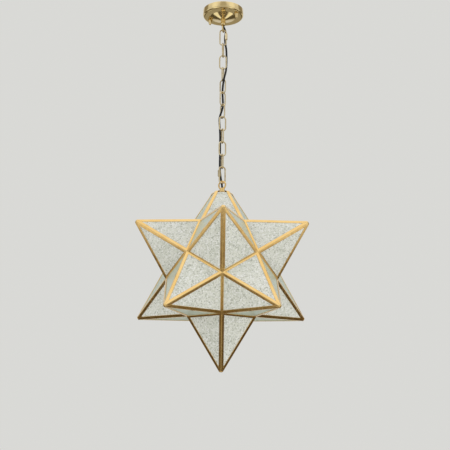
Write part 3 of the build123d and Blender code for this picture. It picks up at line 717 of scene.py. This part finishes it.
# Strip over the ridge between faces 0 and 1 of a point, mitred at its foot. It narrows to the tip from
# where the strips of its neighbours meet it, unless it is cut at an end before that.
def ridgeBar(reach, foot=0.0, end=None):
    corner = np.array([baseRadius * sin(radians(36)), -baseRadius * cos(radians(36)), coreInradius])
    toTip = np.array([0, 0, reach]) - corner
    length = np.linalg.norm(toTip)
    ahead = toTip / length
    crest = unit(faceNormal(reach, 0) + faceNormal(reach, 72))
    foldTurn = acos(faceNormal(reach, 0).dot(faceNormal(reach, 72))) / 2
    halfAngle, flange = pointAngles(reach)[1], star["ridgeFlange"]
    beside = star["coreEdge"] / 2 - insetHalf(reach, star["valleyFlange"], flange)
    footSkew = (beside * sin(halfAngle) + star["valleyFlange"] * cos(halfAngle)) / flange
    narrowing = tan(halfAngle)
    closing = length - flange / narrowing
    if end is None:
        end = (star["tip"] - star["bead"] - coreInradius) / (reach - coreInradius) * length
        stations = np.array([foot, *star["lowStations"], *star["highStations"], closing,
                             (closing + end) / 2, end])
        skews = np.interp(stations, [0, star["ridgeMitre"], closing, end], [footSkew, 0, 0, narrowing])
    else:
        stations = np.array([foot, *star["lowStations"], end])
        skews = np.interp(stations, [0, star["ridgeMitre"]], [footSkew, 0])
    room = (length - stations) * narrowing / (1 + np.maximum(skews, 0) * narrowing)
    widths = np.where(stations <= star["ridgeMitre"], flange, np.minimum(flange, room))
    return foldedBar(corner + stations[:, None] * ahead, ahead, crest, foldTurn, widths, skews)


# Strip in the valley below face 0, mitred at both ends, between two faces with these normals.
def valleyBar(reach, nearNormal, farNormal, halves=(1, -1), inset=0.0):
    halfEdge, mitre, eastward = star["coreEdge"] / 2, star["valleyMitre"], np.array([1.0, 0, 0])
    crest = unit(nearNormal + farNormal)
    foldTurn = acos(nearNormal.dot(farNormal)) / 2
    skew = (halfEdge - insetHalf(reach, star["valleyFlange"], star["ridgeFlange"])) / star["valleyFlange"]
    stations = np.array([-halfEdge, -mitre, *star["valleyStations"], mitre, halfEdge])
    skews = np.interp(stations, [-halfEdge, -mitre, mitre, halfEdge], [skew, 0, 0, -skew])
    centres = np.array([0, -baseInradius, coreInradius]) + stations[:, None] * eastward
    widths = np.full(len(stations), star["valleyFlange"] - inset)
    return foldedBar(centres, eastward, crest, foldTurn, widths, skews, inwards=True, halves=halves,
                     inset=inset)


# Solder bead that closes a tip: radius = bead radius sqrt(1 - climb^2) (1 - flat (1 - climb) (a / 36)^2),
# where a is the angle in degrees from the nearest ridge. So it is five-sided at its foot and round above.
def tipBead():
    rows, sides = star["beadRows"], star["beadSides"]
    foot = star["tip"] - star["bead"] - star["beadSunk"]
    climb = np.sin(np.linspace(0, pi / 2, rows))
    angle = np.linspace(0, 2 * pi, sides, endpoint=False)
    fromRidge = np.abs((np.degrees(angle) + 54 + 36) % 72 - 36)
    sided = 1 - star["beadFlat"] * (fromRidge / 36) ** 2
    radius = star["beadRadius"] * np.sqrt(np.clip(1 - climb ** 2, 0, 1))[:, None]
    radius = radius * (1 + (sided - 1) * (1 - climb)[:, None])
    height = foot + (star["tip"] - foot) * climb[:, None]
    points = np.stack([radius * np.cos(angle), radius * np.sin(angle), np.repeat(height, sides, 1)], -1)
    return points.reshape(-1, 3), gridFaces(rows, sides, False, True) + [list(range(sides))]


# A direction seen in the mirror of the valley below face 0.
def mirrored(normal):
    across = unit((0, coreInradius, baseInradius))
    return normal - 2 * across * normal.dot(across)


# The five turns of a shell about Z.
def around(shell):
    return [placed(shell, turnZ(72 * i)) for i in range(5)]


# One brass piece from pairs of (shell, turn) about the star's centre.
def starPiece(name, turned, body, replaced):
    shells = [placed(shell, turn, starCentre) for shell, turn in turned]
    return newPiece(name, shells, brass, body, replaced)


# Faces of a point are counted from 0, each 72 degrees on. A valley belongs to two points and is made once.
upperAzimuths = (0, 72, -144, -72)
lowerAzimuths = (36, 108, 180, -108, -36)
doorAzimuth = 144
doorFoot = star["doorGap"] / cos(pointAngles(star["reach"])[1])
pointShells = around(ridgeBar(star["reach"])) + [tipBead()]
doorShells = around(ridgeBar(star["reach"], doorFoot)) + [tipBead()]
sideNormal = faceNormal(star["reach"], 0)
topNormal = faceNormal(star["topReach"], 0)
belowNormal = mirrored(sideNormal)
starPiece("upperPointStrips", [(shell, upper(azimuth)) for azimuth in upperAzimuths for shell in pointShells],
          "star", ["upper_point_frames"])
starPiece("lowerPointStrips", [(shell, lower(azimuth)) for azimuth in lowerAzimuths for shell in pointShells],
          "star", ["lower_point_frames"])
starPiece("bottomPointStrips", [(shell, turnX(180)) for shell in pointShells], "star", ["bottom_point_frame"])
starPiece("openingPointStrips", [(shell, upper(doorAzimuth)) for shell in doorShells], "opening_point",
          ["door_frame"])

sideValley = valleyBar(star["reach"], sideNormal, belowNormal)
topValley = valleyBar(star["topReach"], topNormal, belowNormal)
farFlange = valleyBar(star["reach"], sideNormal, belowNormal, halves=(1,))
nearFlange = valleyBar(star["reach"], sideNormal, belowNormal, halves=(-1,), inset=star["doorGap"])
topFlange = valleyBar(star["topReach"], topNormal, belowNormal, halves=(-1,))
valleys = [(topValley, turnZ(azimuth)) for azimuth in upperAzimuths]
valleys += [(sideValley, upper(azimuth) @ turnZ(72 * face)) for azimuth in upperAzimuths for face in (0, 4)]
valleys += [(sideValley, upper(azimuth) @ turnZ(72)) for azimuth in (0, -144, -72)]
valleys += [(sideValley, lower(azimuth) @ turnZ(72 * face)) for azimuth in lowerAzimuths for face in (0, 1)]
valleys += [(farFlange, upper(doorAzimuth) @ turnZ(72 * face)) for face in (0, 1, 3, 4)]
valleys.append((topFlange, turnZ(doorAzimuth)))
starPiece("valleyStrips", valleys, "star", ["valley_strips"])
starPiece("openingRim", [(nearFlange, upper(doorAzimuth) @ turnZ(72 * face)) for face in range(5)],
          "opening_point", ["door_rim"])
print("star strips made")

# The top of the star: ridge strips up to the straps, five bent straps over the plate, and the loop.
# A strap's section goes round it in shares of its half width (across) and of its sheet (deep).
starTop = {"plate": 188.0, "strapWidth": 10.0, "strapSheet": 1.0, "bend": 12.0, "strapStart": 8.2,
           "tail": 3.0, "fold": 0.52, "bendSteps": 14, "underlap": 1.0,
           "across": (-1, -1, -0.93, -0.6, -0.3, 0, 0.3, 0.6, 0.93, 1, 1, 0.6, 0.3, 0, -0.3, -0.6),
           "deep": (1, 0.3, 0, 0, 0, 0, 0, 0, 0, 0.3, 1, 1, 1, 1, 1, 1)}
topLean = atan(baseRadius / (star["topReach"] - coreInradius))


# Outer line of a strap as (radius, height): flat from the collar, an arc of the bend radius, and a
# straight tail down the ridge.
def strapLine():
    topDepth = baseInradius * star["topReach"] / pointAngles(star["topReach"])[0]
    high = starTop["plate"] + starTop["strapSheet"]
    corner = (star["topReach"] * (1 + star["sheet"] / topDepth) - high) * tan(topLean)
    run = starTop["bend"] * tan((pi / 2 - topLean) / 2)
    centre = (corner - run, high - starTop["bend"])
    arc = arcPoints(centre, starTop["bend"], 90, degrees(topLean), starTop["bendSteps"])
    down = np.array([sin(topLean), -cos(topLean)])
    tail = [(np.array(arc[-1]) + down * starTop["tail"] * share).tolist() for share in (0.4, 1.0)]
    return np.array([(starTop["strapStart"], high), *arc, *tail])


# Strap: at each point of the line, width runs across and the sheet inwards. Its edges are eased, and the
# tail folds down along the ridge by fold share |width|, where share grows from 0 to 1 through the bend.
def strapShell():
    line = strapLine()
    count, sides = len(line), len(starTop["across"])
    step = np.gradient(line, axis=0)
    step /= np.linalg.norm(step, axis=1)[:, None]
    outward = np.stack([-step[:, 1], step[:, 0]], -1)
    width = np.array(starTop["across"]) * (starTop["strapWidth"] / 2)
    depth = np.array(starTop["deep"]) * starTop["strapSheet"]
    share = np.clip((np.arange(count) - 3) / (count - 5), 0, 1)[:, None]
    fold = starTop["fold"] * share * np.abs(width)[None]
    flat = line[:, None] - outward[:, None] * (depth[None] + fold)[..., None]
    points = np.stack([flat[..., 0], np.repeat(width[None], count, 0), flat[..., 1]], -1)
    return points.reshape(-1, 3), gridFaces(count, sides, False, True) + endFaces(count, sides)


def addStarTop():
    end = np.linalg.norm(strapLine()[-1] - np.array([baseRadius, coreInradius])) + starTop["underlap"]
    ridges = around(ridgeBar(star["topReach"], end=end))
    starPiece("topPointStrips", [(shell, np.eye(3)) for shell in ridges], "star", ["top_point_frame"])
    straps = placed(strapShell(), turnZ(36 - 90))
    starPiece("topStraps", [(shell, np.eye(3)) for shell in around(straps)], "star", ["top_straps"])
    low = starZ + starTop["plate"]
    neck = low + ringLoop["collarHeight"]
    high = neck + ringLoop["starStem"]
    stem, bore, thread, collar = (ringLoop[name] for name in ("stem", "bore", "thread", "collar"))
    ease, small, deep = ringLoop["ease"], ringLoop["smallRounding"], high - ringLoop["neckDepth"]
    outline = [(bore, high), (bore + ease, high), *roundCorner(stem, high, ringLoop["rounding"], 7),
               (stem, neck + small), (stem + small / 2, neck), *roundCorner(collar, neck, small, 4),
               (collar, low + ease), (collar - ease, low), (thread, low), (thread, deep), (bore, deep)]
    ring = ringShell(high + ringLoop["path"] - ringLoop["bar"], ringLoop["starTurn"], False)
    newPiece("starLoop", [lathed(outline, ringLoop["stemSides"]), ring], brass, "star",
             ["star_loop"])


addStarTop()
print("star top made")

# Floor, world and lamps. The room's stops go by height, 0 straight down and 1 straight up. The floor's two
# measures are in millimetres and the lamps' in metres.
studio = {"background": (0.695, 0.695, 0.672), "fill": (0.72, 0.72, 0.71), "room": [
              (0.0, (0.12, 0.10, 0.07)), (0.125, (0.15, 0.125, 0.09)), (0.21, (0.19, 0.155, 0.10)),
              (0.25, (0.25, 0.22, 0.16)), (0.266, (0.58, 0.55, 0.48)), (0.283, (0.95, 0.93, 0.88)),
              (0.36, (0.64, 0.64, 0.61)), (0.66, (0.66, 0.66, 0.64)), (0.95, (1.06, 1.05, 1.02))],
          "panels": [   # towards, half, edge, shade
              ((0.0, 0.89, -0.46), 12.0, 10.0, (0.36, 0.34, 0.28)),
              ((0.0, -0.89, 0.46), 10.0, 12.0, (0.48, 0.46, 0.40)),
              ((0.30, 0.82, -0.48), 10.0, 5.0, (0.10, 0.085, 0.055)),
              ((0.25, 0.63, -0.735), 4.5, 4.0, (1.05, 1.05, 0.95)),
              ((0.72, -0.62, -0.30), 7.0, 8.0, (0.95, 0.95, 0.86)),
              ((0.60, -0.45, -0.66), 9.0, 8.0, (0.95, 0.95, 0.86)),
              ((0.38, -0.20, -0.90), 7.0, 8.0, (0.95, 0.95, 0.86)),
              ((0.84, 0.0, -0.55), 6.0, 5.0, (0.10, 0.075, 0.04)),
              ((0.85, 0.42, -0.28), 12.0, 8.0, (0.12, 0.10, 0.06)),
              ((0.80, 0.45, 0.40), 14.0, 12.0, (0.28, 0.25, 0.19)),
              ((0.68, -0.57, 0.46), 3.0, 18.0, (1.0, 1.0, 0.94))],
          "floorDrop": 2400.0, "floorHalf": 6000.0, "floorDark": (0.90, 0.90, 0.87),
          "floorPale": (0.93, 0.93, 0.90), "floorStops": (0.3, 0.7), "floorRoughness": 0.8, "lamps": [
              {"name": "keyLamp", "place": (-1.5, -2.0, 0.5), "size": 1.4, "power": 9.0},
              {"name": "fillLamp", "place": (1.8, -1.6, -0.3), "size": 1.4, "power": 9.0},
              {"name": "lowLamp", "place": (0.3, -1.6, -1.6), "size": 1.4, "power": 4.0},
              {"name": "topLamp", "place": (0.2, -0.4, 1.7), "size": 2.0, "power": 3.0}]}


# One panel of the room, in gloss only: its shade covers every direction whose angle from the panel's
# middle is less than half, and fades over edge, both in degrees. The room's left is its right in a mirror,
# so the direction comes in with its x made positive.
def addPanel(tree, direction, room, panel):
    towards, half, edge, shade = panel
    near = addNode(tree, "VectorMath", {1: unit(towards)})
    near.operation = "DOT_PRODUCT"
    tree.links.new(direction, near.inputs[0])
    cover = addNode(tree, "MapRange", {"From Min": cos(radians(half + edge)), "From Max": cos(radians(half))})
    cover.interpolation_type = "SMOOTHSTEP"
    tree.links.new(near.outputs["Value"], cover.inputs["Value"])
    return mixed(tree, cover.outputs["Result"], room, shade)


# Pale for the camera and through glass. Gloss sees a room that is bright above and at the sides and dark
# below, and has panels of light and shade. Everything else is lit by an even fill.
def addWorld():
    world = bpy.data.worlds.new("studio")
    world.use_nodes = True
    tree = world.node_tree
    background = tree.nodes["Background"]
    place = addNode(tree, "TexCoord")
    split = addNode(tree, "SeparateXYZ")
    tree.links.new(place.outputs["Generated"], split.inputs["Vector"])
    climb = addNode(tree, "MapRange", {"From Min": -1.0, "From Max": 1.0})
    tree.links.new(split.outputs["Z"], climb.inputs["Value"])
    room = ramp(tree, climb.outputs["Result"], studio["room"])
    right = addNode(tree, "Math")
    right.operation = "ABSOLUTE"
    tree.links.new(split.outputs["X"], right.inputs[0])
    folded = addNode(tree, "CombineXYZ")
    for axis, part in zip("XYZ", (right.outputs["Value"], split.outputs["Y"], split.outputs["Z"])):
        tree.links.new(part, folded.inputs[axis])
    for panel in studio["panels"]:
        room = addPanel(tree, folded.outputs["Vector"], room, panel)
    rays = addNode(tree, "LightPath")
    glossy = mixed(tree, rays.outputs["Is Glossy Ray"], studio["fill"], room)
    seen = addNode(tree, "Math")
    seen.operation = "MAXIMUM"
    tree.links.new(rays.outputs["Is Camera Ray"], seen.inputs[0])
    tree.links.new(rays.outputs["Is Transmission Ray"], seen.inputs[1])
    shown = mixed(tree, seen.outputs[0], glossy, studio["background"])
    tree.links.new(shown, background.inputs["Color"])
    bpy.context.scene.world = world


# Floor: a pale flat square far below the star.
def addFloor():
    half, level = studio["floorHalf"], starZ - studio["floorDrop"]
    points = np.array([(half * x, half * y, level) for x, y in ((-1, -1), (1, -1), (1, 1), (-1, 1))])
    mesh = bpy.data.meshes.new("floor")
    mesh.from_pydata((points * mm).tolist(), [], [(0, 1, 2, 3)])
    material, tree, shader = newMaterial("paleFloor")
    toned(tree, shader, noise(tree, 1.5), studio["floorStops"], studio["floorDark"], studio["floorPale"])
    shader.inputs["Roughness"].default_value = studio["floorRoughness"]
    mesh.materials.append(material)
    floor = bpy.data.objects.new("floor", mesh)
    floor.visible_glossy = False   # the room's own shades stand for it in the metal
    addToScene(floor)


def addLamps():
    aim = Vector(starCentre) * mm
    for lamp in studio["lamps"]:
        data = bpy.data.lights.new(lamp["name"], "AREA")
        data.shape = "DISK"
        data.size = lamp["size"]
        data.energy = lamp["power"]
        holder = bpy.data.objects.new(lamp["name"], data)
        holder.visible_glossy = False   # the room makes the reflections, not the lamps
        place = Vector(lamp["place"]) + aim
        turn = (aim - place).to_track_quat("-Z", "Y").to_matrix().to_4x4()
        holder.matrix_world = Matrix.Translation(place) @ turn
        addToScene(holder)


addWorld()
addFloor()
addLamps()
bpy.context.scene.view_settings.view_transform = "Standard"
print("studio made")
